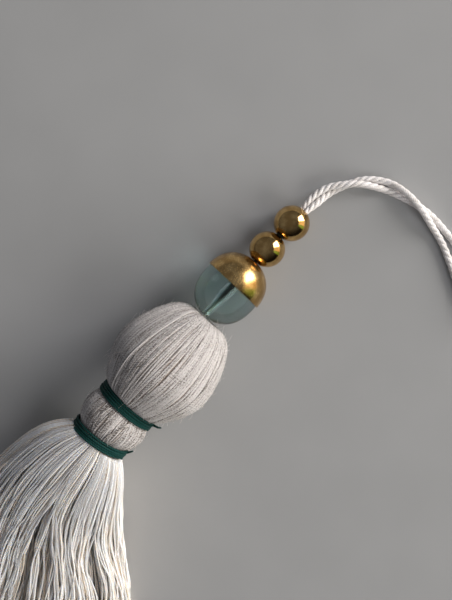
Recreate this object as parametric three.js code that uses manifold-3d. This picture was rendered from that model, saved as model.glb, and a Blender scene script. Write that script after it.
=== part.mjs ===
// A beaded tassel laid on a table: a ball head and a small neck ball of cotton yarn, each
// closed by a dark thread binding, a skirt of loose yarns, a glass bead with a brass cap,
// two brass beads and a doubled hanging cord. Millimetres, +Z up, resting on z = 0. The
// tassel's own axis runs along +X from the skirt to the beads and dips towards the beads.
import * as THREE from 'three';
import { mergeVertices } from 'three/addons/utils/BufferGeometryUtils.js';
import Module from 'manifold-3d';

const wasm = await Module();
wasm.setup();

// Head and neck: the wound yarn's place along the axis and radius, beads' end first.
const YARN_OUTLINE = [
  { along: 15.7, radius: 1.6 },
  { along: 16.4, radius: 3.6 },
  { along: 17.1, radius: 5.6 },
  { along: 16.6, radius: 7.7 },
  { along: 14.6, radius: 10.0 },
  { along: 11.4, radius: 12.0 },
  { along: 7.0, radius: 13.9 },
  { along: 2.4, radius: 15.15 },
  { along: -2.4, radius: 15.35 },
  { along: -6.6, radius: 14.1 },
  { along: -10.4, radius: 12.0 },
  { along: -13.1, radius: 10.1 },
  { along: -13.75, radius: 8.15 },
  { along: -17.25, radius: 8.15 },
  { along: -17.9, radius: 9.0 },
  { along: -20.6, radius: 9.75 },
  { along: -23.7, radius: 9.25 },
  { along: -25.25, radius: 7.6 },
  { along: -28.75, radius: 7.6 },
  { along: -29.3, radius: 8.3 },
  { along: -31.0, radius: 8.0 },
];
const YARN_LOCKS = 32;
const LOCK_RELIEF = 0.22;
const HEAD_RISE = 15.1;
const NECK_BEND = THREE.MathUtils.degToRad(7);
const BEND_FROM = -15.5;
const BEND_OVER = 11.6;

// Bindings: a few turns of one thread, laid side by side.
const THREAD = 0.72;
const HEAD_BINDING = { along: -15.5, radius: 8.85, turns: 4 };
const NECK_BINDING = { along: -27.0, radius: 8.3, turns: 4 };

// Beads, strung beside the head's axis by BEAD_OFFSET.
const BEAD_OFFSET = 1.45;
const GLASS = { along: 27.07, half: 10.0, radius: 8.65, bore: 1.55, square: 2.3 };
const CAP = { edge: 1.5, gap: 0.1, wall: 0.4, hole: 1.9 };
const CAP_SEAT = 0.2;
const BRASS = { radius: 5, bore: 1.9, flat: 0.1 };
const LOWER_BEAD = 42.25;
const UPPER_BEAD = 52.1;
const THREADED = { from: 16.4, to: 54.75, radius: 1.2 };

// The beads' far end rests on the table, so the axis dips by this angle.
const TILT = Math.asin((HEAD_RISE - (BRASS.radius - BRASS.flat)) / UPPER_BEAD);

// Hanging cord: two legs of one three-ply cord, twisted round each other, then an eye.
const CORD = { radius: 1.0, squeezed: 0.76, plies: 3, relief: 0.14, lay: 6 };
const LEG_SPACING = 1.06;
const LEG_SPACING_IN_BEAD = 0.8;
const CORD_START = 55.3;
const CORD_ROUTE = [
  [60.7, 1.1], [64.8, 0.1], [68.5, -2.0], [71.9, -4.5], [74.4, -7.7],
  [76.3, -11.3], [77.3, -15.2], [77.8, -19.2], [77.8, -23.3], [77.3, -27.4],
  [76.6, -31.6], [75.6, -35.7], [74.3, -41.0], [72.8, -46.5], [71.0, -52.5],
];
const CORD_DIP = 0.2;
const TWIST_AT_BEAD = THREE.MathUtils.degToRad(-50);
const TWIST_PER_MM = THREE.MathUtils.degToRad(8.8);
const EYE_FROM = 45;
const EYE_RADIUS = 4.6;

// Skirt: strands in layers, bottom first. Each strand starts in the neck's end and comes
// to lie at its layer's height. root and spread are shares of the bundle's half width.
const SKIRT_START = -29.4;
const SKIRT_ROOT = 8.2;
const SKIRT_LEAVES = THREE.MathUtils.degToRad(2);
const SKIRT_TURN = THREE.MathUtils.degToRad(23);
const SKIRT_TURNS_FROM = -2;
const SKIRT_TURNS_TO = 53;
const SKIRT_FLARE = { opens: 7, within: 6, fans: 25, fansFrom: -8, fansTo: 100 };
const SKIRT_FALL = { lowest: 10, perLevel: 8 };
const SKIRT_LAYERS = [
  { strands: 15, rise: -0.8, root: 0.44, spread: 1.0, length: 76 },
  { strands: 20, rise: -0.5, root: 0.76, spread: 0.98, length: 80 },
  { strands: 22, rise: -0.18, root: 0.9, spread: 0.93, length: 83 },
  { strands: 23, rise: 0.16, root: 0.9, spread: 0.87, length: 85 },
  { strands: 20, rise: 0.5, root: 0.76, spread: 0.78, length: 86 },
  { strands: 14, rise: 0.8, root: 0.44, spread: 0.62, length: 86 },
];
const LAYER_PITCH = 2.05;
const STRAND = { thick: 0.8, fill: 0.45, steps: 7 };

const COTTON = new THREE.MeshStandardMaterial({ color: 0xd9d2c6, roughness: 0.9, metalness: 0 });
const THREAD_GREEN = new THREE.MeshStandardMaterial({ color: 0x123d38, roughness: 0.6, metalness: 0 });
const TEAL_GLASS = new THREE.MeshStandardMaterial({ color: 0x6f8f8c, roughness: 0.05, metalness: 0 });
const POLISHED_BRASS = new THREE.MeshStandardMaterial({ color: 0xc9a14e, roughness: 0.12, metalness: 1 });
const WHITE_CORD = new THREE.MeshStandardMaterial({ color: 0xe6e0da, roughness: 0.8, metalness: 0 });

// A point of the tassel's straightened form, put where the dipped axis and bent neck have it.
function placed(along, sideways, up) {
  const turn = NECK_BEND * THREE.MathUtils.clamp((BEND_FROM - along) / BEND_OVER, 0, 1);
  const back = Math.min(along - BEND_FROM, 0);
  const x = along - Math.sin(turn) * sideways;
  const y = back * Math.tan(turn / 2) + Math.cos(turn) * sideways;
  return new THREE.Vector3(
    x * Math.cos(TILT) + up * Math.sin(TILT),
    y,
    HEAD_RISE - x * Math.sin(TILT) + up * Math.cos(TILT),
  );
}

// Leaves one closed set of shared points, with its faces turned outwards.
function closed(geometry) {
  geometry.deleteAttribute('normal');
  geometry.deleteAttribute('uv');
  const body = mergeVertices(geometry, 1e-4);
  const at = body.getAttribute('position');
  const index = body.index.array;
  const [a, b, c] = [new THREE.Vector3(), new THREE.Vector3(), new THREE.Vector3()];
  let volume = 0;
  for (let i = 0; i < index.length; i += 3) {
    a.fromBufferAttribute(at, index[i]);
    b.fromBufferAttribute(at, index[i + 1]);
    c.fromBufferAttribute(at, index[i + 2]);
    volume += a.dot(b.cross(c));
  }
  if (volume < 0) {
    for (let i = 0; i < index.length; i += 3) {
      [index[i + 1], index[i + 2]] = [index[i + 2], index[i + 1]];
    }
  }
  return body;
}

// A rod with round ends' points moved by shape(share along, turn about the rod, share out).
function formedRod(sides, steps, shape) {
  const rod = new THREE.CylinderGeometry(1, 1, 1, sides, steps);
  const points = rod.getAttribute('position');
  const p = new THREE.Vector3();
  for (let i = 0; i < points.count; i += 1) {
    p.fromBufferAttribute(points, i);
    const moved = shape(0.5 - p.y, Math.atan2(p.z, p.x), Math.min(Math.hypot(p.x, p.z), 1));
    points.setXYZ(i, moved.x, moved.y, moved.z);
  }
  return closed(rod);
}

// A turned form about the tassel's or the beads' axis, from [along, radius] points.
function turned(profile, segments, sideways) {
  const outline = profile.map(([along, radius]) => new THREE.Vector2(radius, along));
  const form = new THREE.LatheGeometry(outline, segments);
  const points = form.getAttribute('position');
  const p = new THREE.Vector3();
  for (let i = 0; i < points.count; i += 1) {
    p.fromBufferAttribute(points, i);
    const moved = placed(p.y, sideways + p.x, p.z);
    points.setXYZ(i, moved.x, moved.y, moved.z);
  }
  return closed(form);
}

function toSolid(geometry) {
  return new wasm.Manifold(new wasm.Mesh({
    numProp: 3,
    vertProperties: new Float32Array(geometry.getAttribute('position').array),
    triVerts: new Uint32Array(geometry.index.array),
  }));
}

function fromSolid(solid) {
  const mesh = solid.getMesh();
  const geometry = new THREE.BufferGeometry();
  geometry.setAttribute('position', new THREE.BufferAttribute(mesh.vertProperties, 3));
  geometry.setIndex(new THREE.BufferAttribute(mesh.triVerts, 1));
  return geometry;
}

// Cuts off what would stand below the table, which leaves the small flat spot.
function restedFlat(solid) {
  const block = new THREE.BoxGeometry(400, 400, 20).translate(0, 0, -10);
  return solid.subtract(toSolid(closed(block)));
}

// The ball head and neck ball, with the locks of yarn raised from pole to pole.
function woundYarn() {
  const rings = YARN_OUTLINE.length - 1;
  return formedRod(YARN_LOCKS * 2, rings, (share, turn, out) => {
    const { along, radius } = YARN_OUTLINE[Math.round(share * rings)];
    const bare = placed(along, radius * Math.cos(turn), radius * Math.sin(turn));
    const clear = THREE.MathUtils.smoothstep(bare.z, 0.2, 3);
    const free = Math.min(
      Math.abs(along - HEAD_BINDING.along),
      Math.abs(along - NECK_BINDING.along),
      17 - along,
    );
    const raised = THREE.MathUtils.smoothstep(free, 1.8, 4.5) * clear;
    const lock = LOCK_RELIEF * raised * Math.cos(YARN_LOCKS * turn);
    const thick = out * (radius + lock);
    return placed(along, thick * Math.cos(turn), thick * Math.sin(turn));
  });
}

// The skirt's middle line on the table, from the neck, turning the way the yarns hang.
function skirtLine(length) {
  const start = placed(SKIRT_START, 0, 0);
  const line = [{ x: start.x, y: start.y, heading: Math.PI + SKIRT_LEAVES }];
  const step = 0.5;
  for (let t = step; t <= length; t += step) {
    const last = line[line.length - 1];
    const share = THREE.MathUtils.smoothstep(t, SKIRT_TURNS_FROM, SKIRT_TURNS_TO);
    const heading = Math.PI + SKIRT_LEAVES + SKIRT_TURN * share;
    line.push({
      x: last.x + step * Math.cos(heading),
      y: last.y + step * Math.sin(heading),
      heading,
    });
  }
  return (t) => {
    const at = THREE.MathUtils.clamp(t / step, 0, line.length - 2);
    const [a, b] = [line[Math.floor(at)], line[Math.floor(at) + 1]];
    const part = at - Math.floor(at);
    return {
      x: THREE.MathUtils.lerp(a.x, b.x, part),
      y: THREE.MathUtils.lerp(a.y, b.y, part),
      heading: THREE.MathUtils.lerp(a.heading, b.heading, part),
    };
  };
}

function skirtHalfWidth(t) {
  const { opens, within, fans, fansFrom, fansTo } = SKIRT_FLARE;
  const opened = opens * (1 - Math.exp(-t / within));
  return SKIRT_ROOT + opened + fans * THREE.MathUtils.smoothstep(t, fansFrom, fansTo);
}

// One strand: three-sided, flat side down, from its root to its blunt end.
function strand(line, layer, level, place) {
  const { strands, rise, root, spread, length } = layer;
  const rootHeight = placed(SKIRT_START, 0, SKIRT_ROOT * rise).z;
  const cut = length + 1.5 * Math.sin(7 * place + 2 * level);
  const fall = SKIRT_FALL.lowest + SKIRT_FALL.perLevel * level;
  const centre = (t) => {
    const mid = line(t);
    const opened = 1 - Math.exp(-t / 14);
    const half = THREE.MathUtils.lerp(root, spread, opened) * skirtHalfWidth(t);
    const across = place * half;
    const thick = Math.min(STRAND.thick, (STRAND.fill * 2 * half) / strands);
    const settled = 1 - Math.exp(-((t / fall) ** 2));
    const lift = 0.19 * t * Math.exp(-t / 10);
    const lying = thick / 2 + level * LAYER_PITCH * (1 - 0.25 * place * place);
    const leaning = SKIRT_ROOT * rise * Math.sin(TILT) * (1 - opened);
    return {
      x: mid.x + leaning + across * Math.sin(mid.heading),
      y: mid.y - across * Math.cos(mid.heading),
      z: THREE.MathUtils.lerp(rootHeight + lift, lying, settled),
      thick,
    };
  };
  return formedRod(3, STRAND.steps, (share, turn, out) => {
    const t = cut * share ** 1.6;
    const here = centre(t);
    const before = centre(Math.max(t - 0.5, 0));
    const after = centre(t + 0.5);
    const heading = Math.atan2(after.y - before.y, after.x - before.x);
    const corner = turn + Math.PI / 2;
    const side = out * here.thick * Math.sin(corner);
    const up = -out * here.thick * Math.cos(corner);
    return new THREE.Vector3(
      here.x + side * Math.sin(heading),
      here.y - side * Math.cos(heading),
      here.z + up,
    );
  });
}

function skirt() {
  const line = skirtLine(95);
  const strands = [];
  SKIRT_LAYERS.forEach((layer, level) => {
    const stagger = level % 2 ? 0.5 : 0;
    for (let i = 0; i < layer.strands; i += 1) {
      const place = (2 * (i + 0.5 + stagger / 2)) / (layer.strands + stagger) - 1;
      strands.push(strand(line, layer, level, place));
    }
  });
  return strands;
}

function yarnBundle() {
  const ball = restedFlat(toSolid(woundYarn()));
  return fromSolid(wasm.Manifold.union([ball, ...skirt().map(toSolid)]));
}

// Turns of thread side by side, round outside and flat on the yarn, with the cut tail.
function binding({ along, radius, turns }, tail) {
  const width = turns * THREAD;
  const profile = [[along + width / 2, radius - THREAD / 2]];
  for (let i = 0; i < turns; i += 1) {
    const centre = along + width / 2 - THREAD * (i + 0.5);
    for (const angle of [160, 90, 20]) {
      const a = THREE.MathUtils.degToRad(180 - angle);
      profile.push([centre + (THREAD / 2) * Math.cos(a), radius + (THREAD / 2) * Math.sin(a)]);
    }
  }
  profile.push([along - width / 2, radius - THREAD / 2], profile[0]);
  const band = toSolid(turned(profile, 24, 0));
  const path = new THREE.CatmullRomCurve3(tail.map(([x, y, z]) => placed(x, y, z)));
  const end = formedRod(8, 4, (share, turn, out) => {
    const middle = path.getPoint(share);
    const thick = out * (THREAD / 2) * (1 - 0.5 * share);
    const away = path.getTangent(share);
    const side = new THREE.Vector3(0, 0, 1).cross(away).normalize();
    const up = away.clone().cross(side);
    return middle
      .addScaledVector(side, thick * Math.cos(turn))
      .addScaledVector(up, thick * Math.sin(turn));
  });
  return fromSolid(band.add(toSolid(end)));
}

// Half width of the glass bead, a little squarer than an ellipse, at a share of its length.
function beadRadius(share) {
  return GLASS.radius * (1 - Math.abs(share) ** GLASS.square) ** (1 / GLASS.square);
}

// The share of the bead's half length at which it is as narrow as radius.
function beadEnd(radius) {
  const part = 1 - (radius / GLASS.radius) ** GLASS.square;
  return part ** (1 / GLASS.square);
}

function glassBead() {
  const { along, half, bore } = GLASS;
  const end = beadEnd(bore);
  const profile = [];
  for (let i = 0; i <= 14; i += 1) {
    const share = -end * Math.cos((Math.PI * i) / 14);
    const seat = share * half > CAP.edge - 0.2 ? CAP_SEAT : 0;
    profile.push([along + share * half * (seat ? 0.975 : 1), Math.max(beadRadius(share) - seat, bore)]);
  }
  return turned([...profile, profile[0]], 24, BEAD_OFFSET);
}

function brassCap() {
  const { along, half } = GLASS;
  const from = CAP.edge / half;
  const outer = [];
  const inner = [];
  for (let i = 0; i <= 8; i += 1) {
    const reach = Math.sin((Math.PI * i) / 16);
    const share = from + (beadEnd(CAP.hole) - from) * reach;
    const radius = Math.max(beadRadius(share), CAP.hole);
    const past = CAP.wall * reach;
    inner.push([along + share * half, radius + CAP.gap * (1 - reach)]);
    outer.push([along + share * half + past, radius + (CAP.gap + CAP.wall) * (1 - reach ** 4)]);
  }
  return turned([...outer, ...inner.reverse(), outer[0]], 24, BEAD_OFFSET);
}

function brassBead(along) {
  const { radius, bore } = BRASS;
  const reach = Math.acos(bore / radius);
  const profile = [];
  for (let i = 0; i <= 12; i += 1) {
    const a = reach * (i / 6 - 1);
    profile.push([along + radius * Math.sin(a), radius * Math.cos(a)]);
  }
  const ball = turned([...profile, profile[0]], 24, BEAD_OFFSET);
  return fromSolid(restedFlat(toSolid(ball)));
}

// The doubled cord's stretch inside the beads.
function threadedCord() {
  const { from, to, radius } = THREADED;
  return formedRod(8, 1, (share, turn, out) => {
    const along = THREE.MathUtils.lerp(from, to, share);
    return placed(along, BEAD_OFFSET + out * radius * Math.cos(turn), out * radius * Math.sin(turn));
  });
}

// The middle line of the cord's legs: up one leg, round the eye and back along the other.
function cordPath() {
  const start = placed(CORD_START, BEAD_OFFSET, 0);
  const plan = [[start.x, start.y], ...CORD_ROUTE].map(([x, y]) => new THREE.Vector3(x, y, 0));
  const route = new THREE.CatmullRomCurve3(plan);
  const length = route.getLength();
  const out = [];
  const back = [];
  const count = 26;
  for (let i = 0; i <= count; i += 1) {
    const s = (length * i) / count;
    const middle = route.getPointAt(i / count);
    const away = route.getTangentAt(i / count);
    const side = new THREE.Vector3(-away.y, away.x, 0);
    const twist = Math.min(TWIST_AT_BEAD + TWIST_PER_MM * s, 2 * Math.PI);
    const free = THREE.MathUtils.smoothstep(s, 1, 6);
    const half = THREE.MathUtils.lerp(LEG_SPACING_IN_BEAD, LEG_SPACING, free);
    const opened = THREE.MathUtils.smoothstep(s, EYE_FROM, length) * (EYE_RADIUS - LEG_SPACING);
    const across = Math.cos(twist) * half + opened;
    const lying = CORD.radius + half * Math.abs(Math.sin(twist));
    const height = Math.max(start.z - CORD_DIP * s, lying);
    const lift = half * Math.sin(twist);
    out.push(middle.clone().addScaledVector(side, across).setZ(height + lift));
    back.unshift(middle.clone().addScaledVector(side, -across).setZ(height - lift));
  }
  const tip = route.getPointAt(1);
  const ahead = route.getTangentAt(1);
  const side = new THREE.Vector3(-ahead.y, ahead.x, 0);
  const eye = [45, 90, 135].map((degrees) => {
    const a = THREE.MathUtils.degToRad(degrees);
    return tip.clone()
      .addScaledVector(side, EYE_RADIUS * Math.cos(a))
      .addScaledVector(ahead, EYE_RADIUS * Math.sin(a))
      .setZ(CORD.radius);
  });
  return new THREE.CatmullRomCurve3([...out, ...eye, ...back]);
}

// The cord, with its three plies raised and winding round it.
function hangingCord() {
  const path = cordPath();
  const length = path.getLength();
  const steps = 136;
  return formedRod(9, steps, (share, turn, out) => {
    const s = share * length;
    const middle = path.getPointAt(share);
    const away = path.getTangentAt(share);
    const side = new THREE.Vector3(0, 0, 1).cross(away).normalize();
    const up = away.clone().cross(side);
    const fromEnd = Math.min(s, length - s);
    const full = THREE.MathUtils.smoothstep(fromEnd, 1, 6);
    const radius = THREE.MathUtils.lerp(CORD.squeezed, CORD.radius, full);
    const ply = Math.cos(CORD.plies * turn);
    const thick = out * (radius - CORD.relief / 2 + (CORD.relief / 2) * ply);
    const wound = turn - (2 * Math.PI * s) / CORD.lay;
    return middle
      .addScaledVector(side, thick * Math.cos(wound))
      .addScaledVector(up, thick * Math.sin(wound));
  });
}

function piece(name, geometry, material) {
  const mesh = new THREE.Mesh(geometry, material);
  mesh.name = name;
  return mesh;
}

const HEAD_TAIL = [[-15.2, -8.6, -0.6], [-14.6, -9.6, -0.2], [-14.2, -10.5, 0.3], [-13.6, -11.2, 0.4]];
const NECK_TAIL = [[-26.4, -8.1, 0.2], [-25.7, -8.7, 0.5], [-24.9, -9.2, 0.95], [-24.3, -9.5, 1.2]];

const tassel = new THREE.Group();
tassel.add(
  piece('yarn_bundle', yarnBundle(), COTTON),
  piece('head_binding', binding(HEAD_BINDING, HEAD_TAIL), THREAD_GREEN),
  piece('neck_binding', binding(NECK_BINDING, NECK_TAIL), THREAD_GREEN),
  piece('glass_bead', glassBead(), TEAL_GLASS),
  piece('brass_cap', brassCap(), POLISHED_BRASS),
  piece('brass_bead_lower', brassBead(LOWER_BEAD), POLISHED_BRASS),
  piece('brass_bead_upper', brassBead(UPPER_BEAD), POLISHED_BRASS),
  piece('threaded_cord', threadedCord(), WHITE_CORD),
  piece('hanging_cord', hangingCord(), WHITE_CORD),
);
export default tassel;
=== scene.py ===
import math
import bpy
import numpy as np
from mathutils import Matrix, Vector


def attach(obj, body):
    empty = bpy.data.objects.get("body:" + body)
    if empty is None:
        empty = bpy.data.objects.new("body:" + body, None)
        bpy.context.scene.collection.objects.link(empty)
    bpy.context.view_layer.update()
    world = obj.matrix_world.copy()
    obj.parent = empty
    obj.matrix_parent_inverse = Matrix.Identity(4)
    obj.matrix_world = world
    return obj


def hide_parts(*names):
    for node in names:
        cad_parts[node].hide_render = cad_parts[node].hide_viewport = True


# A beaded tassel of undyed cotton yarn, laid on a pale table: the ball head rests on a small
# flat spot, the beads' far end on the last bead, and the loose skirt on the table. Metres,
# +Z up. The tassel's own axis runs along +X and dips towards the beads.
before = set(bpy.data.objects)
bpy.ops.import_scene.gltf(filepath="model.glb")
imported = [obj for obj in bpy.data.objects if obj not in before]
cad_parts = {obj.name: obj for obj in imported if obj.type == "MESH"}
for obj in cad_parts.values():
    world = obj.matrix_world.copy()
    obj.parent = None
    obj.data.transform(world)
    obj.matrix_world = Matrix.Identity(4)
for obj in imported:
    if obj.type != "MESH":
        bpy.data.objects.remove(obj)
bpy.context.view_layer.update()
scene = bpy.context.scene
scene.view_settings.view_transform = "Standard"


# The camera looks square on to the dipped axis from above, turned so that the tassel runs
# from lower left to upper right. Here and below, all lengths but the lamps' are in mm, and a
# place along the tassel is counted from the head's middle towards the beads.
MM = 0.001
HEAD_RISE = 15.1
UPPER_BEAD = 52.1
BEAD_REST = 4.9
TILT = math.asin((HEAD_RISE - BEAD_REST) / UPPER_BEAD)
VIEW_ALONG = 24.25
VIEW_SIDE = 0.08
VIEW_DISTANCE = 186.2
VIEW_ROLL = math.radians(46.6)
FOCAL_PIXELS = 674
PICTURE_HEIGHT = 600
SENSOR = 36
NEAREST_SEEN = 5

lean = Vector((math.sin(TILT), 0, math.cos(TILT)))
down_axis = Vector((math.cos(TILT), 0, -math.sin(TILT)))
target = Vector((0, VIEW_SIDE, HEAD_RISE)) + VIEW_ALONG * down_axis
across = math.cos(VIEW_ROLL) * down_axis - math.sin(VIEW_ROLL) * Vector((0, 1, 0))
upward = math.sin(VIEW_ROLL) * down_axis + math.cos(VIEW_ROLL) * Vector((0, 1, 0))
camera = bpy.data.objects.new("camera", bpy.data.cameras.new("camera"))
camera.data.sensor_width = SENSOR
camera.data.lens = FOCAL_PIXELS / PICTURE_HEIGHT * SENSOR
camera.data.clip_start = NEAREST_SEEN * MM
place = camera.matrix_world.copy()
for row in range(3):
    place[row][0] = across[row]
    place[row][1] = upward[row]
    place[row][2] = lean[row]
    place[row][3] = (target[row] + VIEW_DISTANCE * lean[row]) * MM
camera.matrix_world = place
scene.collection.objects.link(camera)
scene.camera = camera


# The hanging cord: one white three-ply cord, doubled, its two legs loosely twisted round each
# other where they leave the last bead, and opening into the eye it hangs by. Each ply is its
# own twist of fine yarn.
CORD_RADIUS = 1.0
CORD_SQUEEZED = 0.76
CORD_LAY = 6
LEG_SPACING = 1.06
LEG_SPACING_IN_BEAD = 0.8
CORD_START = 55.3
CORD_SWELLS_FROM = 1
CORD_SWELLS_TO = 6
BEAD_OFFSET = 1.45
CORD_ROUTE = [
    (60.7, 1.1), (64.8, 0.1), (68.5, -2.0), (71.9, -4.5), (74.4, -7.7),
    (76.3, -11.3), (77.3, -15.2), (77.8, -19.2), (77.8, -23.3), (77.3, -27.4),
    (76.6, -31.6), (75.6, -35.7), (74.3, -41.0), (72.8, -46.5), (71.0, -52.5),
]
CORD_DIP = 0.2
CORD_STEPS = 26
TWIST_AT_BEAD = math.radians(-50)
TWIST_PER_MM = math.radians(8.8)
EYE_FROM = 45
EYE_RADIUS = 4.6
PLY_RADIUS = 0.60
PLY_OFFSET = 0.40
PLY_SIDES = 12
CURVE_STEPS = 24

random = np.random.default_rng(41)


def smooth(x, low, high):
    """0 up to low, 1 from high on, and an even rise between."""
    t = np.clip((x - low) / (high - low), 0, 1)
    return t * t * (3 - 2 * t)


def line_through(points, spacing):
    """An even line of points, spacing apart, on the curve through points, and its length."""
    p = np.asarray(points, float)
    p = np.vstack([2 * p[0] - p[1], p, 2 * p[-1] - p[-2]])
    fine = []
    for a, b, c, d in zip(p, p[1:], p[2:], p[3:]):
        t = np.linspace(0, 1, CURVE_STEPS, endpoint=False)[:, None]
        fine.append(
            0.5 * (2 * b + (c - a) * t + (2 * a - 5 * b + 4 * c - d) * t**2
                   + (3 * b - a - 3 * c + d) * t**3)
        )
    fine = np.vstack([*fine, p[-2:-1]])
    run = np.concatenate([[0], np.cumsum(np.linalg.norm(np.diff(fine, axis=0), axis=1))])
    even = np.linspace(0, run[-1], max(int(run[-1] / spacing), 2) + 1)
    return np.stack([np.interp(even, run, fine[:, k]) for k in range(3)], axis=1), run[-1]


def placed(along, sideways, up):
    """A point of the tassel's straight form, put where the dipped axis has it."""
    return np.stack([
        along * math.cos(TILT) + up * math.sin(TILT),
        sideways + 0 * along,
        HEAD_RISE - along * math.sin(TILT) + up * math.cos(TILT),
    ], axis=-1)


def cord_centre():
    """The middle line of the cord: up one leg, round the eye and back along the other."""
    start = placed(np.array(CORD_START), BEAD_OFFSET, np.array(0))
    plan = [(start[0], start[1], 0)] + [(x, y, 0) for x, y in CORD_ROUTE]
    route, length = line_through(plan, 0.25)
    at = np.linspace(0, len(route) - 1, CORD_STEPS + 1)
    middle = np.stack([np.interp(at, range(len(route)), route[:, k]) for k in range(3)], 1)
    away = np.gradient(middle, axis=0)
    away /= np.linalg.norm(away, axis=1, keepdims=True)
    side = np.stack([-away[:, 1], away[:, 0], 0 * away[:, 0]], 1)
    s = length * np.arange(CORD_STEPS + 1) / CORD_STEPS
    twist = np.minimum(TWIST_AT_BEAD + TWIST_PER_MM * s, 2 * math.pi)
    swollen = smooth(s, CORD_SWELLS_FROM, CORD_SWELLS_TO)
    half = LEG_SPACING_IN_BEAD + (LEG_SPACING - LEG_SPACING_IN_BEAD) * swollen
    opened = smooth(s, EYE_FROM, length) * (EYE_RADIUS - LEG_SPACING)
    reach = (np.cos(twist) * half + opened)[:, None] * side
    lying = CORD_RADIUS + half * np.abs(np.sin(twist))
    height = np.maximum(start[2] - CORD_DIP * s, lying)
    lift = half * np.sin(twist)
    out = middle + reach
    back = middle - reach
    out[:, 2] = height + lift
    back[:, 2] = height - lift
    eye = [
        middle[-1] + EYE_RADIUS * (math.cos(a) * side[-1] + math.sin(a) * away[-1])
        + np.array([0, 0, CORD_RADIUS])
        for a in (math.radians(45), math.radians(90), math.radians(135))
    ]
    return np.vstack([out, eye, back[::-1]])


def frames_along(path):
    """The direction, and two directions across it, at each point of each path."""
    ahead = np.gradient(path, axis=-2)
    ahead /= np.linalg.norm(ahead, axis=-1, keepdims=True)
    side = np.cross(np.array([0, 0, 1.0]), ahead)
    side /= np.maximum(np.linalg.norm(side, axis=-1, keepdims=True), 1e-6)
    return ahead, side, np.cross(ahead, side)


def linked(name, mesh):
    """A piece of that mesh, put in the scene."""
    piece = bpy.data.objects.new(name, mesh)
    scene.collection.objects.link(piece)
    return piece


def strands_mesh(name, paths, radius, sides):
    """One closed tube round each path. paths is (tubes, points, 3) in mm, and radius is a
    number or (tubes, points). Each corner keeps its run along the tube, its turn about it and
    the tube's own number."""
    tubes, points = paths.shape[:2]
    _, side, up = frames_along(paths)
    turn = np.arange(sides) * 2 * math.pi / sides
    radius = np.broadcast_to(radius, (tubes, points))[..., None, None]
    ring = side[:, :, None] * np.cos(turn)[:, None] + up[:, :, None] * np.sin(turn)[:, None]
    corners = (paths[:, :, None] + radius * ring).reshape(-1, 3)
    ends = np.stack([paths[:, 0], paths[:, -1]], 1).reshape(-1, 3)
    first = np.arange(tubes)[:, None, None] * points * sides
    i = np.arange(points - 1)[None, :, None] * sides
    j = np.arange(sides)[None, None, :]
    k = (j + 1) % sides
    row = first + i
    quads = np.stack([row + j, row + k, row + sides + k, row + sides + j], -1).reshape(-1, 4)
    base = tubes * points * sides
    tips = base + 2 * np.arange(tubes)[:, None]
    j, k = j[0], k[0]
    start = np.stack([first[:, 0] + k, first[:, 0] + j, tips + 0 * j], -1).reshape(-1, 3)
    last = first[:, 0] + (points - 1) * sides
    finish = np.stack([last + j, last + k, tips + 1 + 0 * j], -1).reshape(-1, 3)
    mesh = bpy.data.meshes.new(name)
    mesh.vertices.add(base + 2 * tubes)
    mesh.vertices.foreach_set("co", np.vstack([corners, ends]).astype(np.float32).ravel() * MM)
    loops = np.concatenate([quads.ravel(), start.ravel(), finish.ravel()])
    sizes = np.concatenate([np.full(len(quads), 4), np.full(len(start) + len(finish), 3)])
    mesh.loops.add(len(loops))
    mesh.loops.foreach_set("vertex_index", loops.astype(np.int32))
    mesh.polygons.add(len(sizes))
    mesh.polygons.foreach_set("loop_start", (np.cumsum(sizes) - sizes).astype(np.int32))
    mesh.polygons.foreach_set("use_smooth", np.ones(len(sizes), bool))
    run = np.concatenate([
        np.zeros((tubes, 1)),
        np.cumsum(np.linalg.norm(np.diff(paths, axis=1), axis=-1), axis=1),
    ], axis=1)
    here, further = run[:, :-1], run[:, 1:]
    quad_run = np.stack([here, here, further, further], -1)[:, :, None]
    quad_run = np.repeat(quad_run, sides, 2).reshape(-1)
    side_from = np.arange(sides) / sides
    side_to = np.arange(1, sides + 1) / sides
    quad_turn = np.stack([side_from, side_to, side_to, side_from], -1)
    quad_turn = np.broadcast_to(quad_turn, (tubes, points - 1, sides, 4)).reshape(-1)
    own = random.random(tubes)
    quad_own = np.repeat(own, (points - 1) * sides * 4)
    cap_own = np.repeat(own, sides * 3)
    cap_run = np.concatenate([np.zeros(len(start) * 3), np.repeat(run[:, -1], sides * 3)])
    lay = np.stack([
        np.concatenate([quad_run, cap_run]),
        np.concatenate([quad_turn, np.zeros(len(cap_run))]),
        np.concatenate([quad_own, cap_own, cap_own]),
    ], 1)
    told = mesh.attributes.new("lay", "FLOAT_VECTOR", "CORNER")
    told.data.foreach_set("vector", lay.astype(np.float32).ravel())
    mesh.update()
    mesh.validate()
    return linked(name, mesh)


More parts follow.
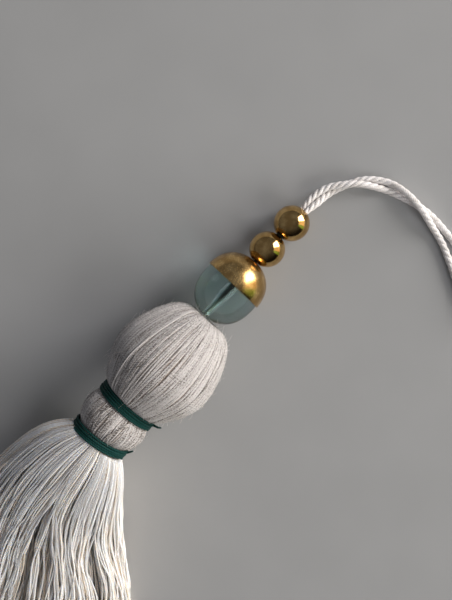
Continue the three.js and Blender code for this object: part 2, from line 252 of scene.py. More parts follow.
class Flow:
    """One output of a shader node. Sums and products of flows make Math nodes."""

    def __init__(self, tree, socket):
        self.tree = tree
        self.socket = socket

    def node(self, kind, settings=None, **values):
        """A new node of that kind, its settings made first and its inputs filled after."""
        made = self.tree.nodes.new(kind)
        for name, setting in (settings or {}).items():
            if name == "stops":
                ramp = made.color_ramp
                while len(ramp.elements) < len(setting):
                    ramp.elements.new(0.5)
                for stop, (at, colour) in zip(ramp.elements, setting):
                    stop.position = at
                    stop.color = (*colour, 1)
            else:
                setattr(made, name, setting)
        for name, value in values.items():
            place = int(name[1:]) if name[0] == "_" else name.replace("_", " ")
            if isinstance(value, Flow):
                self.tree.links.new(value.socket, made.inputs[place])
            else:
                made.inputs[place].default_value = value
        return made

    def out(self, made, name=0):
        """One output of that node, as a flow."""
        return Flow(self.tree, made.outputs[name])

    def sum(self, operation, *terms):
        """What a Math node makes of the terms."""
        made = self.node("ShaderNodeMath", {"operation": operation},
                         **{f"_{i}": term for i, term in enumerate(terms)})
        return self.out(made)

    def __add__(self, other):
        return self.sum("ADD", self, other)

    __radd__ = __add__

    def __sub__(self, other):
        return self.sum("SUBTRACT", self, other)

    def __rsub__(self, other):
        return self.sum("SUBTRACT", other, self)

    def __mul__(self, other):
        return self.sum("MULTIPLY", self, other)

    __rmul__ = __mul__

    def __truediv__(self, other):
        return self.sum("DIVIDE", self, other)

    def __rtruediv__(self, other):
        return self.sum("DIVIDE", other, self)

    def sine(self):
        return self.sum("SINE", self)

    def clamped(self, low, high):
        """0 below low, 1 above high, and smooth between."""
        made = self.node("ShaderNodeMapRange", {"interpolation_type": "SMOOTHSTEP"},
                         Value=self, From_Min=low, From_Max=high)
        return self.out(made)

    def tint(self, dark, light):
        """The colour that is dark where the flow is 0 and light where it is 1. Either can be a
        flow itself."""
        dark, light = (c if isinstance(c, Flow) else (*c, 1) for c in (dark, light))
        made = self.node("ShaderNodeMix", {"data_type": "RGBA"}, _0=self, _6=dark, _7=light)
        return self.out(made, 2)


def new_material(name):
    """A new material, a flow to build its nodes on, and its output node."""
    material = bpy.data.materials.new(name)
    material.use_nodes = True
    tree = material.node_tree
    tree.nodes.clear()
    last = tree.nodes.new("ShaderNodeOutputMaterial")
    return material, Flow(tree, None), last


def attribute(start, part):
    """One part of what each corner of a strand keeps: run (0), turn (1) or number (2)."""
    read = start.node("ShaderNodeAttribute", {"attribute_name": "lay"})
    split = start.node("ShaderNodeSeparateXYZ", Vector=start.out(read, "Vector"))
    return start.out(split, part)


def noise(start, scale, detail=2, stretch=(1, 1, 1)):
    """Soft noise through the piece's own space, scale patches to the metre."""
    where = start.node("ShaderNodeTexCoord")
    sized = start.node("ShaderNodeMapping", Vector=start.out(where, "Object"), Scale=stretch)
    made = start.node("ShaderNodeTexNoise", Vector=start.out(sized), Scale=scale, Detail=detail)
    return start.out(made)


def shaded(material, start, last, **values):
    """The material, with one plain shader of these values on its output node."""
    body = start.node("ShaderNodeBsdfPrincipled", **values)
    start.tree.links.new(body.outputs[0], last.inputs[0])
    return material


# How slubs, ridges and fibres are spread over a yarn and from yarn to yarn.
SLUBS_PER_MM = 0.3
SLUBS_AROUND = 2
SLUB_TINT = 0.55
SLUB_APART = 157
RIDGE_APART = 97
FIBRES_PER_METRE = 3000
FIBRE_HEIGHT = 1.4
DARKEST_AT = 0.05
LIGHTEST_AT = 0.75
GLOW_DEPTH = 1.2


def yarn_material(name, dark, light, lay, plies, depth, ply_shading=0.15, spread=0.35, sheen=0.2,
                  glow=0.0, grain=0.3, rough=0.85, shine=0.25):
    """Spun yarn: plies that wind round it every lay mm, thick and thin places, colour that
    varies from yarn to yarn and along each, and short fibres. depth is the height of its
    relief. ply_shading, spread and grain are the shares of ridges, yarns and fibres in its tint;
    the ridges' share is painted shade in the grooves between the plies and painted highlight on
    their tops."""
    material, start, last = new_material(name)
    run = attribute(start, 0)
    turn = attribute(start, 1)
    own = attribute(start, 2)
    winding = (turn - run / lay) * (plies * 2 * math.pi) + own * RIDGE_APART
    ridge = 0.5 + 0.5 * winding.sine()
    along = start.node("ShaderNodeCombineXYZ", X=run * SLUBS_PER_MM, Y=turn * SLUBS_AROUND,
                       Z=own * SLUB_APART)
    slub = start.out(start.node("ShaderNodeTexNoise", Vector=start.out(along), Scale=1.0, Detail=4))
    fibres = noise(start, FIBRES_PER_METRE, 3)
    specks = (fibres - 0.5) * (2 * grain)
    # The ridges paint the grooves between the plies darker and their tops lighter: painted shade
    # and painted highlight.
    pale = ridge * ply_shading + own * spread + slub * SLUB_TINT + specks - 0.05
    colour = pale.clamped(DARKEST_AT, LIGHTEST_AT).tint(dark, light)
    bump = start.node("ShaderNodeBump", Height=ridge + fibres * FIBRE_HEIGHT + slub, Strength=0.7,
                      Distance=depth * MM)
    return shaded(material, start, last, Base_Color=colour, Roughness=rough,
                  Normal=start.out(bump), Sheen_Weight=sheen, Sheen_Roughness=0.4,
                  Specular_IOR_Level=shine, Subsurface_Weight=glow,
                  Subsurface_Radius=(1.0, 0.8, 0.6), Subsurface_Scale=GLOW_DEPTH * MM)


white_cord = yarn_material("white_cord", (0.70, 0.65, 0.61), (0.92, 0.90, 0.91),
                           lay=1.5, plies=3, depth=0.06, ply_shading=0.25, spread=0.1, grain=0.45)

centre, cord_length = line_through(cord_centre(), 0.3)
_, side, up = frames_along(centre)
run = np.linspace(0, cord_length, len(centre))
from_end = np.minimum(run, cord_length - run)
swollen = smooth(from_end, CORD_SWELLS_FROM, CORD_SWELLS_TO)
size = CORD_SQUEEZED + (CORD_RADIUS - CORD_SQUEEZED) * swollen
plies = []
for number in range(3):
    angle = -2 * math.pi * (run / CORD_LAY + number / 3)
    offset = (PLY_OFFSET * size)[:, None]
    plies.append(centre + offset * (np.cos(angle)[:, None] * side + np.sin(angle)[:, None] * up))
plies = np.array(plies)
cord = strands_mesh("cord_loop", plies, PLY_RADIUS * size, PLY_SIDES)
cord.data.materials.append(white_cord)
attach(cord, "root")
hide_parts("hanging_cord")


# The doubled cord's stretch inside the beads: the same two legs, squeezed side by side, which
# show through the glass. Their colour is painted shade: pale where they leave the head, near black
# further in.
THREADED_FROM = 16.4
THREADED_TO = 54.75
THREADED_POINTS = 110
THREADED_TWIST_PER_MM = math.radians(12)
INNER_LEG = 0.62
INNER_APART = 0.5
THINNEST_SHARE = 0.35
THINNEST_TO = 17
FULL_FROM = 27
SHADED_FROM = 0.5
SHADED_TO = 9


def leg_share(along):
    """How thick the drawn cord is there: it goes thin where it enters the head."""
    return THINNEST_SHARE + (1 - THINNEST_SHARE) * smooth(along, THINNEST_TO, FULL_FROM)


along = np.linspace(THREADED_FROM, THREADED_TO, THREADED_POINTS)
slim = leg_share(along)
legs = []
for half_turn in (0, math.pi):
    twist = half_turn + along * THREADED_TWIST_PER_MM
    apart = INNER_APART * slim
    legs.append(placed(along, BEAD_OFFSET + apart * np.cos(twist), apart * np.sin(twist)))
threaded = strands_mesh("cord_in_beads", np.array(legs), INNER_LEG * slim[None], PLY_SIDES)
shaded_cord, start, last = new_material("shaded_cord")
# Painted shade: the white cord darkens from pale to near black over its first 9 mm, standing in for
# the shadow in the bore and under the cap.
deep = attribute(start, 0).clamped(SHADED_FROM, SHADED_TO)
colour = deep.tint((0.42, 0.42, 0.34), (0.018, 0.020, 0.012))
threaded.data.materials.append(shaded(shaded_cord, start, last, Base_Color=colour, Roughness=0.9))
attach(threaded, "root")
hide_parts("threaded_cord")


# The glass bead: pressed grey-teal glass, a little squarer than an egg, polished, with a bore
# along the tassel's axis.
GLASS_ALONG = 27.07
GLASS_HALF = 10.0
GLASS_RADIUS = 8.65
GLASS_MOUTH = 1.9
GLASS_SQUARE = 2.3
GLASS_ROWS = 64
BORE_ROWS = 14
BORE_LENGTH_SHARE = 0.985
BORE_CLEARANCE = 0.12
BORE_RADIUS = 1.12
BORE_FLARE = 1.05
CAP_EDGE = 1.5
CAP_EDGE_SOFT = 0.6
CAP_SEAT = 0.2
AROUND = 96


def bead_radius(share):
    """The bead's radius at that share of its half length from its middle."""
    return GLASS_RADIUS * (1 - np.abs(share) ** GLASS_SQUARE) ** (1 / GLASS_SQUARE)


def bead_end(radius):
    """The share of its half length at which the bead has that radius."""
    return (1 - (radius / GLASS_RADIUS) ** GLASS_SQUARE) ** (1 / GLASS_SQUARE)


def quads_round(rows, joined):
    """The faces from each of the first joined rows of AROUND points to the row after it, which
    is the first for the last."""
    i = np.arange(joined)[:, None] * AROUND
    after = (np.arange(joined)[:, None] + 1) % rows * AROUND
    j = np.arange(AROUND)[None, :]
    k = (j + 1) % AROUND
    return np.stack([i + j, i + k, after + k, after + j], -1).reshape(-1, 4).tolist()


def smooth_piece(name, points, faces):
    """A smooth-shaded piece of points in mm and the faces between them."""
    mesh = bpy.data.meshes.new(name)
    mesh.from_pydata((points.reshape(-1, 3) * MM).tolist(), [], faces)
    mesh.polygons.foreach_set("use_smooth", np.ones(len(mesh.polygons), bool))
    mesh.update()
    return linked(name, mesh)


def turned(name, profile, sideways, floor=None):
    """A form turned about the beads' axis from a closed ring of (along, radius) in mm, with
    nothing of it under the floor."""
    ring = np.array(profile)
    turn = np.arange(AROUND) * 2 * math.pi / AROUND
    points = placed(
        ring[:, None, 0] + 0 * turn,
        sideways + ring[:, None, 1] * np.cos(turn),
        ring[:, None, 1] * np.sin(turn),
    )
    if floor is not None:
        points[..., 2] = np.maximum(points[..., 2], floor)
    return smooth_piece(name, points, quads_round(len(ring), len(ring)))


profile = []
end = bead_end(GLASS_MOUTH)
for share in -end * np.cos(np.linspace(0, math.pi, GLASS_ROWS)):
    seat = CAP_SEAT * float(smooth(share * GLASS_HALF, CAP_EDGE - CAP_EDGE_SOFT, CAP_EDGE))
    profile.append((GLASS_ALONG + share * GLASS_HALF, bead_radius(share) - seat))
for share in np.linspace(end, -end, BORE_ROWS):
    flare = BORE_FLARE * (abs(share) / end) ** 8
    at = GLASS_ALONG + share * GLASS_HALF * BORE_LENGTH_SHARE
    profile.append((at, BORE_CLEARANCE + BORE_RADIUS * float(leg_share(at)) + flare))
glass = turned("glass_ball", profile, BEAD_OFFSET)

teal_glass, start, last = new_material("teal_glass")
haze = noise(start, 180, 2)
tint = haze.clamped(0.3, 0.7).tint((0.60, 0.97, 0.95), (0.72, 1.0, 1.0))
# Painted shade: towards its rim as seen from the camera the glass turns dark teal, standing in for
# the dark room refracted there; the rim is also less see-through.
painted_rim = start.out(start.node("ShaderNodeLayerWeight", Blend=0.5), "Facing").clamped(0.55, 0.9)
glass.data.materials.append(shaded(
    teal_glass, start, last, Base_Color=painted_rim.tint(tint, (0.02, 0.06, 0.06)), Roughness=0.0,
    IOR=1.5, Transmission_Weight=1.0, Alpha=0.66 + 0.32 * painted_rim,
))
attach(glass, "root")
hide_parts("glass_bead")


# The bead cap: thin polished brass, spun to the bead's shape, its edge a straight cut that
# stands a little proud. Polishing has left fine lines round it.
CAP_GAP = 0.1
CAP_WALL = 0.4
CAP_HOLE = 1.9
CAP_LIP = 0.08
CAP_ROWS = 36

outer = []
inner = []
cap_from = CAP_EDGE / GLASS_HALF
for reach in np.sin(np.linspace(0, math.pi / 2, CAP_ROWS)):
    share = cap_from + (bead_end(CAP_HOLE) - cap_from) * reach
    radius = max(float(bead_radius(share)), CAP_HOLE)
    inner.append((GLASS_ALONG + share * GLASS_HALF, radius + CAP_GAP * (1 - reach)))
    outer.append((
        GLASS_ALONG + share * GLASS_HALF + CAP_WALL * reach,
        radius + (CAP_GAP + CAP_WALL) * (1 - reach**4),
    ))
lip = (outer[0][0] - CAP_LIP, (outer[0][1] + inner[0][1]) / 2)
cap = turned("brass_cap_shell", [lip, *outer, *inner[::-1]], BEAD_OFFSET)


def brass_material(name, roughness, lines):
    """Polished brass with slight tarnish and fine polishing lines, which lines makes duller."""
    material, start, last = new_material(name)
    tarnish = noise(start, 420, 3)
    colour = tarnish.clamped(0.35, 0.7).tint((0.46, 0.28, 0.10), (0.74, 0.50, 0.21))
    worn = noise(start, 5200, 2, (0.12, 1, 1))
    rough = roughness + tarnish * 0.05 + worn * lines
    bump = start.node("ShaderNodeBump", Height=worn, Strength=0.25, Distance=0.02 * MM)
    return shaded(material, start, last, Base_Color=colour, Metallic=1.0, Roughness=rough,
                  Normal=start.out(bump))


cap.data.materials.append(brass_material("brushed_brass", 0.12, 0.20))
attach(cap, "root")
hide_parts("brass_cap")


# The two round brass beads: hollow polished balls with wide holes, strung on the doubled cord
# against each other and the cap.
BRASS_RADIUS = 5
BRASS_BORE = 1.9
BRASS_BORE_INSET = 0.08
BRASS_BORE_SHARE = 0.985
BRASS_ROWS = 56
BRASS_BORE_ROWS = 8
LOWER_BEAD = 42.25

polished = brass_material("polished_brass", 0.07, 0.06)
for name, along in (("brass_ball_lower", LOWER_BEAD), ("brass_ball_upper", UPPER_BEAD)):
    reach = math.acos(BRASS_BORE / BRASS_RADIUS)
    profile = [
        (along + BRASS_RADIUS * math.sin(a), BRASS_RADIUS * math.cos(a))
        for a in np.linspace(-reach, reach, BRASS_ROWS)
    ]
    mouth = BRASS_BORE_SHARE * (profile[-1][0] - along)
    for inside in np.linspace(mouth, -mouth, BRASS_BORE_ROWS):
        profile.append((along + inside, BRASS_BORE - BRASS_BORE_INSET))
    ball = turned(name, profile, BEAD_OFFSET, floor=0)
    ball.data.materials.append(polished)
    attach(ball, "root")
    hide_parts(name.replace("ball", "bead"))


# The yarn's form: ball head and small neck ball, wound from one hank of undyed cotton folded
# over the cord. It carries the yarns that show, which run from pole to pole over it.
NECK_BEND = math.radians(7)
BEND_FROM = -15.5
BEND_OVER = 11.6
YARN_OUTLINE = [
    (15.7, 1.2), (16.5, 3.3), (16.8, 5.3), (16.1, 7.5), (14.3, 9.7), (11.2, 11.7),
    (6.9, 13.6), (2.4, 14.8), (-2.4, 15.0), (-6.5, 13.8), (-10.2, 11.8), (-12.6, 10.2),
    (-13.6, 9.0), (-14.3, 7.9), (-15.5, 7.6), (-16.7, 7.9), (-17.6, 8.8), (-20.6, 9.5),
    (-23.6, 8.9), (-24.9, 8.0), (-25.6, 7.4), (-27.0, 7.2), (-28.2, 7.3),
]
OUTLINE_SPACING = 0.85
HEAD_ENDS = -15.6
NECK_STARTS = -15.0
CORE_INSET = 0.15
CORE_LEAST = 0.6
CORE_FLOOR = 0.3
YARN_FLOOR = 0.1
YARN = 0.36


def bent(along, sideways, up):
    """As placed, with the neck's bend."""
    turn = NECK_BEND * np.clip((BEND_FROM - along) / BEND_OVER, 0, 1)
    back = np.minimum(along - BEND_FROM, 0)
    x = along - np.sin(turn) * sideways
    y = back * np.tan(turn / 2) + np.cos(turn) * sideways
    point = placed(x, 0, up)
    point[..., 1] = y
    return point


outline = np.array(YARN_OUTLINE)
outline = np.column_stack([outline, 0 * outline[:, 0]])
shape, _ = line_through(outline, OUTLINE_SPACING)
wound_rows = shape[:, :2]


LOOSE_WANDERS = 3.0
LOOSE_RISES = 0.28
UNEVEN = 0.35
POLE_RADIUS = 4
EVEN_RADIUS = 9


def yarns_over(rows, count, sink, sway, stray):
    """Yarns laid along rows of (along, radius), side by side round the form. sink is how deep
    each is let in, sway how far it wanders sideways in mm, stray the share that lies loose."""
    share = np.linspace(0, 1, len(rows))
    paths = []
    for i in range(count):
        turn = 2 * math.pi * (i + random.uniform(-UNEVEN, UNEVEN)) / count
        wave = random.uniform(-1, 1) * np.sin(math.pi * share)
        wave += 0.5 * random.uniform(-1, 1) * np.sin(2 * math.pi * share + random.uniform(0, 6))
        loose = random.random() < stray
        wander = sway * (LOOSE_WANDERS if loose else 1) * wave
        rise = -sink * random.random() + (LOOSE_RISES if loose else 0)
        around = turn + wander / np.maximum(rows[:, 1], POLE_RADIUS)
        out = rows[:, 1] + rise * np.minimum(1, rows[:, 1] / EVEN_RADIUS)
        point = bent(rows[:, 0], out * np.cos(around), out * np.sin(around))
        point[:, 2] = np.maximum(point[:, 2], YARN_FLOOR)
        paths.append(point)
    return np.array(paths)


# Painted shade: the head's and neck's yarns are the same undyed cotton as the skirt's, given far
# darker colours to stand in for the shade on the head.
cotton_yarn = yarn_material("cotton_yarn", (0.08, 0.060, 0.046), (0.64, 0.605, 0.59),
                            lay=1.6, plies=2, depth=0.05, ply_shading=0.2, spread=0.4, glow=0.1,
                            grain=0.6)
ball_rows = wound_rows[wound_rows[:, 0] > HEAD_ENDS]
neck_rows = wound_rows[wound_rows[:, 0] < NECK_STARTS]
core_turn = np.arange(AROUND) * 2 * math.pi / AROUND
core = []
for a, r in wound_rows:
    inner = max(r - CORE_INSET, CORE_LEAST)
    core.append(bent(a + 0 * core_turn, inner * np.cos(core_turn), inner * np.sin(core_turn)))
core = np.array(core)
core[..., 2] = np.maximum(core[..., 2], CORE_FLOOR)
faces = quads_round(len(core), len(core) - 1)
last_row = (len(core) - 1) * AROUND
for j in range(AROUND):
    k = (j + 1) % AROUND
    faces.append((k, j, last_row + AROUND))
    faces.append((last_row + j, last_row + k, last_row + AROUND + 1))
corners = np.vstack([core.reshape(-1, 3), core[0].mean(0), core[-1].mean(0)])
wound_core = smooth_piece("wound_core", corners, faces)

# The core is real wound cotton, but its brown is painted shade: the undyed cotton darkened to show
# as shade in the gaps between the yarns over it.
gap_shade_cotton, start, last = new_material("gap_shade_cotton")
streaks = noise(start, 900, 3, (0.2, 1, 1))
colour = streaks.clamped(0.3, 0.7).tint((0.34, 0.27, 0.22), (0.56, 0.48, 0.42))
wound_core.data.materials.append(
    shaded(gap_shade_cotton, start, last, Base_Color=colour, Roughness=0.95))
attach(wound_core, "root")

HEAD_THICK = 0.66
HEAD_FULL_RADIUS = 12
HEAD_THINNEST = 0.3
NECK_THICK = 0.72
YARN_SIDES = 5

head_thick = HEAD_THICK * YARN * np.clip(ball_rows[:, 1] / HEAD_FULL_RADIUS, HEAD_THINNEST, 1)
for name, count, sink, sway, stray in (
    ("head_yarns_under", 240, 0.15, 0.5, 0.0), ("head_yarns_over", 250, 0.08, 1.1, 0.06),
):
    paths = yarns_over(ball_rows, count, sink, sway, stray)
    piece = strands_mesh(name, paths, head_thick, YARN_SIDES)
    piece.data.materials.append(cotton_yarn)
    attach(piece, "root")

neck_paths = np.concatenate([
    yarns_over(neck_rows, count=120, sink=0.1, sway=0.3, stray=0.0),
    yarns_over(neck_rows, count=120, sink=0.0, sway=0.9, stray=0.04),
])
neck = strands_mesh("neck_yarns", neck_paths, YARN * NECK_THICK, YARN_SIDES)
neck.data.materials.append(cotton_yarn)
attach(neck, "root")


# The bindings: dark green waxed thread wound four times side by side under the head and under
# the neck ball, pulled into the yarn, the cut end standing off.
THREAD = 0.72
THREAD_ROUND = 0.47
THREAD_SIDES = 10
TURNS = 4
TURN_POINTS = 72
TURN_PITCH = 0.93
TURN_START = 0.15
THREAD_SLIPS = 0.07
THREAD_LIFTS = 0.06
TAIL_SPACING = 0.2
TAIL_THINS = 0.45
TAIL_SIDES = 8
# Its ply_shading is strong: painted highlights on the thread's ply ridges and painted shade in its
# grooves.
green_thread = yarn_material("green_thread", (0.0002, 0.0015, 0.0015), (0.011, 0.056, 0.050),
                             lay=1.1, plies=2, depth=0.08, ply_shading=0.7, spread=0.1, sheen=0.0,
                             rough=0.45, shine=0.08)
BINDINGS = [
    ("head_thread", "head_binding", -15.5, 8.85,
     [(-15.2, -8.6, -0.6), (-14.6, -9.6, -0.2), (-14.2, -10.5, 0.3), (-13.6, -11.2, 0.4)]),
    ("neck_thread", "neck_binding", -27.0, 8.3,
     [(-26.4, -8.1, 0.2), (-25.7, -8.7, 0.5), (-24.9, -9.2, 0.95), (-24.3, -9.5, 1.2)]),
]
for name, node, middle, radius, tail in BINDINGS:
    turn = np.linspace(0, TURNS * 2 * math.pi, TURN_POINTS * TURNS + 1)
    turns_made = turn / (2 * math.pi) * TURN_PITCH + TURN_START
    along = middle - TURNS * THREAD / 2 + THREAD * turns_made
    along += THREAD_SLIPS * np.sin(turn * 0.73 + middle)
    out = radius + THREAD_LIFTS * np.sin(turn * 1.37 + 2 * middle)
    around = turn + math.pi
    wound = bent(along, out * np.cos(around), out * np.sin(around))
    thread = strands_mesh(name, wound[None], THREAD_ROUND * THREAD, THREAD_SIDES)
    tail_points = [bent(np.array(a), np.array(b), np.array(c)) for a, b, c in tail]
    loose, _ = line_through(tail_points, TAIL_SPACING)
    thick = THREAD / 2 * (1 - TAIL_THINS * np.linspace(0, 1, len(loose)) ** 2)
    end_piece = strands_mesh(name + "_tail", loose[None], thick[None], TAIL_SIDES)
    for piece in (thread, end_piece):
        piece.data.materials.append(green_thread)
        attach(piece, "root")
    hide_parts(node)


# The skirt: the yarns' loose ends, which leave the neck in one bundle, spread and come to lie
# on the table in gathered, softly waved locks.

# The bundle's start and root radius, its turn to one side, and how it opens and fans out.
SKIRT_START = -28.1
SKIRT_ROOT = 7.7
SKIRT_LEAVES = math.radians(2)
SKIRT_TURN = math.radians(23)
SKIRT_TURNS_FROM = -2
SKIRT_TURNS_TO = 53
SKIRT_OPENS = 7.3
SKIRT_WITHIN = 6
SKIRT_FANS = 25
SKIRT_FANS_FROM = -8
SKIRT_FANS_TO = 100

# How far its lowest and top yarns run before they lie, and how high the pile is.
SKIRT_FALL_LOWEST = 10
SKIRT_FALL_TOP = 50
SKIRT_HEIGHT = 11.0
SKIRT_SINKS = 0.12
SKIRT_SINKS_FROM = 20
SKIRT_SINKS_TO = 80

# The yarns' length, and the hump that the top ones make as they leave the binding.
SKIRT_LENGTH = 84
LENGTH_VARIES = 2.5
LOWEST_SHORTER = 7
HUMP_SLOPE = 0.19
HUMP_LENGTH = 10
TILT_FADES = 14
LEAST_DOME = 0.04
CROWDED = 1.3

# From where a yarn waves freely, and how a lock draws its yarns together and waves.
FREE_FROM = 4
FREE_TO = 44
LOCKS = 60
LOCK_DRAWS = 0.35
LOCK_FROM = 10
LOCK_TO = 46
LOCK_WAVE = (0.2, 0.8)
LOCK_PACE = (6, 11)
LOCK_RISES = 0.45
LOCK_RISE_PACE = 1.3

# Each yarn's own waves, its crimp, and the wider waves of the loose ones.
YARN_WAVE = (0.2, 0.8)
YARN_PACE = (5, 9)
CRIMP_WAVE = (0.1, 0.3)
CRIMP_PACE = (2, 3.5)
LOOSE_WAVE = (0.6, 1.5)
LOOSE_PACE = (9, 16)
LOOSE_LIFT = (0.2, 0.7)
PHASE = (0, 6.28)

# How many yarns there are, and where they leave the bundle's round section of radius 1.
INNER_YARNS = 600
UNDER_YARNS = 240
UPPER_FROM = 440
INNER_EDGE_SQUARED = 0.94
INNER_SCALE = 0.97
OUTER_YARNS = 230
OUTER_EDGE = (0.94, 1.02)
LOOSE_YARNS = 110
LOOSE_EDGE = 1.02
SKIRT_POINTS = 46
SKIRT_YARN_THICK = (0.55, 0.9)
LINE_STEP = 0.5
LINE_LENGTH = 100

start_at = bent(np.array(SKIRT_START), np.array(0), np.array(0))
t_line = np.arange(0, LINE_LENGTH, LINE_STEP)
heading = math.pi + SKIRT_LEAVES + SKIRT_TURN * smooth(t_line, SKIRT_TURNS_FROM, SKIRT_TURNS_TO)
line_x = start_at[0] + np.concatenate([[0], np.cumsum(LINE_STEP * np.cos(heading[1:]))])
line_y = start_at[1] + np.concatenate([[0], np.cumsum(LINE_STEP * np.sin(heading[1:]))])
lock_at = random.uniform(-1, 1, (LOCKS, 2))
lock_wave = random.uniform(*LOCK_WAVE, LOCKS)
lock_pace = random.uniform(*LOCK_PACE, LOCKS)
lock_phase = random.uniform(*PHASE, (LOCKS, 2))


def half_width(t):
    """Half the skirt's width, t mm from the neck."""
    opened = SKIRT_OPENS * (1 - np.exp(-t / SKIRT_WITHIN))
    return SKIRT_ROOT + opened + SKIRT_FANS * smooth(t, SKIRT_FANS_FROM, SKIRT_FANS_TO)


def wave(t, reach, pace):
    """A wave along t, its reach, pace and phase drawn from their ranges."""
    return random.uniform(*reach) * np.sin(t / random.uniform(*pace) + random.uniform(*PHASE))


def skirt_yarn_path(u, v, loose=0):
    """The path of the yarn that leaves the neck's end at (u, v) of its round section. A loose
    one waves more and lies on top of the others."""
    share = np.linspace(0, 1, SKIRT_POINTS)
    dome = math.sqrt(max(1 - u * u, LEAST_DOME))
    rise = 0.5 * (v + dome)
    length = SKIRT_LENGTH + LENGTH_VARIES * random.uniform(-1, 1) - LOWEST_SHORTER * (1 - rise)
    t = length * share**CROWDED
    near = np.argmin((lock_at[:, 0] - u) ** 2 + (lock_at[:, 1] - v) ** 2)
    drawn = LOCK_DRAWS * smooth(t, LOCK_FROM, LOCK_TO)
    put = u + (lock_at[near, 0] - u) * drawn
    free = smooth(t, FREE_FROM, FREE_TO)
    lock = lock_wave[near] * np.sin(t / lock_pace[near] + lock_phase[near, 0])
    own = wave(t, YARN_WAVE, YARN_PACE)
    own += wave(t, CRIMP_WAVE, CRIMP_PACE)
    stray = loose * wave(t, LOOSE_WAVE, LOOSE_PACE)
    across_at = put * half_width(t) + free * (lock + own + stray)
    fall = SKIRT_FALL_LOWEST + (SKIRT_FALL_TOP - SKIRT_FALL_LOWEST) * 0.5 * (v + 1)
    settled = 1 - np.exp(-((t / fall) ** 2))
    lift = HUMP_SLOPE * t * np.exp(-t / HUMP_LENGTH)
    sunk = SKIRT_SINKS * smooth(t, SKIRT_SINKS_FROM, SKIRT_SINKS_TO)
    lying = YARN + rise * SKIRT_HEIGHT * (1 - sunk)
    rolling = np.sin(t / lock_pace[near] * LOCK_RISE_PACE + lock_phase[near, 1])
    lying = lying + LOCK_RISES * free * rolling
    lying = lying + loose * free * random.uniform(*LOOSE_LIFT)
    leaning = SKIRT_ROOT * v * math.sin(TILT) * np.exp(-t / TILT_FADES)
    root_height = start_at[2] + SKIRT_ROOT * v * math.cos(TILT)
    x = np.interp(t, t_line, line_x) + leaning
    y = np.interp(t, t_line, line_y)
    facing = np.interp(t, t_line, heading)
    z = np.maximum((root_height + lift) * (1 - settled) + lying * settled, YARN)
    return np.stack([x + across_at * np.sin(facing), y - across_at * np.cos(facing), z], 1)


skirt_yarn = yarn_material("skirt_yarn", (0.76, 0.60, 0.46), (1.0, 0.955, 0.91),
                           lay=2.2, plies=2, depth=0.05, spread=0.75, glow=0.6, grain=0.35)
outer_places = []
for i in range(OUTER_YARNS):
    a = 2 * math.pi * (i + 0.5 + random.uniform(-0.5, 0.5)) / OUTER_YARNS
    out = random.uniform(*OUTER_EDGE)
    outer_places.append((out * math.cos(a), out * math.sin(a)))
inner_places = []
while len(inner_places) < INNER_YARNS:
    u, v = random.uniform(-1, 1, 2)
    if u * u + v * v < INNER_EDGE_SQUARED:
        inner_places.append((u * INNER_SCALE, v * INNER_SCALE))
inner_places.sort(key=lambda at: at[1])
loose_places = []
for i in range(LOOSE_YARNS):
    a = random.uniform(0.0, math.pi)
    loose_places.append((LOOSE_EDGE * math.cos(a), LOOSE_EDGE * math.sin(a)))
skirt_groups = [
    ("skirt_under", inner_places[:UNDER_YARNS], 0),
    ("skirt_middle", inner_places[UNDER_YARNS:UPPER_FROM], 0),
    ("skirt_upper", inner_places[UPPER_FROM:] + outer_places, 0),
    ("skirt_loose", loose_places, 1),
]
skirt_paths = []
for name, places, loose in skirt_groups:
    paths = np.array([skirt_yarn_path(u, v, loose) for u, v in places])
    skirt_paths.append(paths)
    thick = YARN * random.uniform(*SKIRT_YARN_THICK, (len(paths), 1))
    piece = strands_mesh(name, paths, thick, YARN_SIDES)
    piece.data.materials.append(skirt_yarn)
    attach(piece, "root")
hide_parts("yarn_bundle")


# Fuzz: short single fibres of the cotton that stand off the wound yarns and off the skirt's
# top yarns, each held in its yarn at one end.
HEAD_FIBRES = 700
SKIRT_FIBRES = 500
FIBRE_RADIUS = 0.028
FIBRE_POINTS = 7
FIBRE_SIDES = 3
BOUND_RADIUS = 9.2
HEAD_SHARE = (0.05, 0.95)
HEAD_FIBRE_LONG = (1.0, 3.4)
HEAD_FIBRE_ROUND = (-0.8, 0.8)
HEAD_FIBRE_OFF = (0.15, 0.75)
HEAD_FIBRE_BOW = (1.2, 2.6)
HEAD_FIBRE_FOOT = 0.15
SKIRT_FIBRE_LONG = (1.0, 3.6)
SKIRT_FIBRE_ASIDE = (-0.9, 0.9)
SKIRT_FIBRE_OFF = (0.1, 0.9)
SKIRT_FIBRE_BOW = (1.2, 2.8)

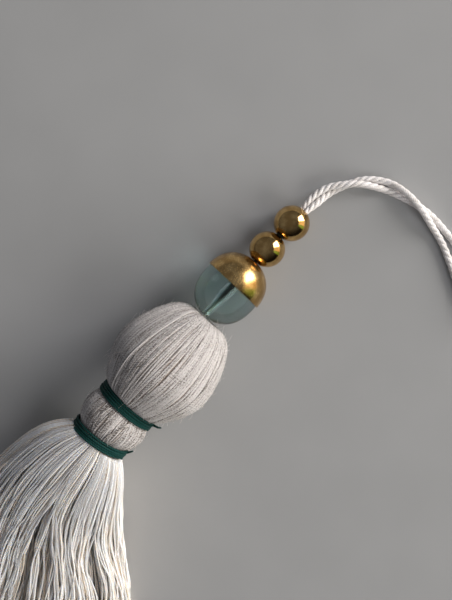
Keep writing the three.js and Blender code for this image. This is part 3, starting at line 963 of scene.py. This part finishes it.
share = np.linspace(0, 1, FIBRE_POINTS)
fibres = []
for i in range(HEAD_FIBRES):
    row = random.uniform(*HEAD_SHARE) * (len(wound_rows) - 1)
    a, r = (np.interp(row, range(len(wound_rows)), wound_rows[:, k]) for k in range(2))
    if a < 0 and r < BOUND_RADIUS:
        continue
    long = random.uniform(*HEAD_FIBRE_LONG)
    lean_over = random.uniform(-1, 1)
    around = random.uniform(0, 2 * math.pi)
    around = around + long * share * random.uniform(*HEAD_FIBRE_ROUND) / max(r, 3)
    off = random.uniform(*HEAD_FIBRE_OFF) * np.sin(share * random.uniform(*HEAD_FIBRE_BOW))
    out = r + HEAD_FIBRE_FOOT + off
    fibres.append(bent(a + long * share * lean_over, out * np.cos(around), out * np.sin(around)))
free_paths = np.concatenate(skirt_paths[2:])
for i in range(SKIRT_FIBRES):
    path = free_paths[random.integers(len(free_paths))]
    k = random.integers(4, SKIRT_POINTS - 2)
    forward = (path[k + 1] - path[k]) / np.linalg.norm(path[k + 1] - path[k])
    long = random.uniform(*SKIRT_FIBRE_LONG)
    aside = random.uniform(*SKIRT_FIBRE_ASIDE) * np.sin(share * random.uniform(*SKIRT_FIBRE_BOW))
    over = random.uniform(*SKIRT_FIBRE_OFF) * np.sin(share * random.uniform(*SKIRT_FIBRE_BOW))
    fibre = path[k] + (long * share)[:, None] * forward
    fibre[:, 0] -= aside * forward[1]
    fibre[:, 1] += aside * forward[0]
    fibre[:, 2] += over
    fibres.append(fibre)
fibres = np.array(fibres)
fibres[..., 2] = np.maximum(fibres[..., 2], YARN_FLOOR)
fuzz = strands_mesh("loose_fibres", fibres, FIBRE_RADIUS, FIBRE_SIDES)
fuzz.data.materials.append(skirt_yarn)
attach(fuzz, "root")


# The table: a plain, pale, matt top on which the whole tassel lies. Its tint varies very
# slightly from place to place.
TABLE_HALF = 3000
TABLE_CORNERS = [(-1, -1, 0), (1, -1, 0), (1, 1, 0), (-1, 1, 0)]

table = smooth_piece("table", TABLE_HALF * np.array(TABLE_CORNERS), [(0, 1, 2, 3)])
table_top, start, last = new_material("table_top")
uneven = noise(start, 40, 2)
colour = uneven.clamped(0.2, 0.8).tint((0.375, 0.378, 0.382), (0.395, 0.398, 0.402))
table.data.materials.append(shaded(table_top, start, last, Base_Color=colour, Roughness=0.9))


# The light: a soft window at the right in three panes, of white, warm and green light, two
# fills that brass and glass don't show, and a pale room round it all.
WINDOW_DEPTH = 1.2
WINDOW_AWAY = across * 0.92 + lean * 0.48
FILL_SIZE = 0.8
DAYLIGHT = (1.0, 0.97, 0.95)


def soft_light(name, at, towards, width, height, watts, colour, mirrored=True):
    """A lamp that shines from at towards a place, sizes in metres. mirrored tells whether
    polished brass and glass show it."""
    lamp = bpy.data.lights.new(name, "AREA")
    lamp.shape = "RECTANGLE"
    lamp.size = width
    lamp.size_y = height
    lamp.energy = watts
    lamp.color = colour
    placed_lamp = bpy.data.objects.new(name, lamp)
    placed_lamp.location = at
    facing = (Vector(at) - Vector(towards)).normalized()
    wide = upward.cross(facing).normalized() if abs(facing.dot(upward)) < 0.99 else across
    tall = facing.cross(wide)
    turn = placed_lamp.matrix_world.to_3x3()
    for row in range(3):
        turn[row] = (wide[row], tall[row], facing[row])
    placed_lamp.rotation_euler = turn.to_euler()
    placed_lamp.visible_glossy = mirrored
    scene.collection.objects.link(placed_lamp)


middle = target * MM
panes = [
    ("window_sky", 0.50, 0.60, 13.0, DAYLIGHT),
    ("window_wall", 0.0, 0.42, 1.2, (1.0, 0.76, 0.46)),
    ("window_lawn", -0.36, 0.28, 0.5, (0.60, 1.0, 0.22)),
]
for name, height, tall, glow, colour in panes:
    watts = glow * math.pi * tall * WINDOW_DEPTH
    at = middle + WINDOW_AWAY + upward * height
    soft_light(name, at, at - across, WINDOW_DEPTH, tall, watts, colour)
fills = [
    ("front_fill", across * 0.3 + lean * 1.15, 0.2),
    ("low_fill", across * 0.75 - upward * 0.8 + lean * 0.6, 4.5),
]
for name, fill, glow in fills:
    watts = glow * math.pi * FILL_SIZE**2
    soft_light(name, middle + fill, middle, FILL_SIZE, FILL_SIZE, watts, DAYLIGHT, mirrored=False)

world = bpy.data.worlds.new("pale_room")
world.use_nodes = True
sky = Flow(world.node_tree, None)
direction = sky.out(sky.node("ShaderNodeTexCoord"))
pale_wall = (-across * 0.45 + upward * 0.35 + lean * 0.8).normalized()
towards_wall = sky.node("ShaderNodeVectorMath", {"operation": "DOT_PRODUCT"},
                        _0=direction, _1=pale_wall)
glow = sky.out(towards_wall, "Value").clamped(-0.35, 1.0)
shade = glow.tint((0.012, 0.011, 0.012), (0.17, 0.175, 0.19))
world.node_tree.links.new(shade.socket, world.node_tree.nodes["Background"].inputs[0])
world.node_tree.nodes["Background"].inputs[1].default_value = 1.0
scene.world = world
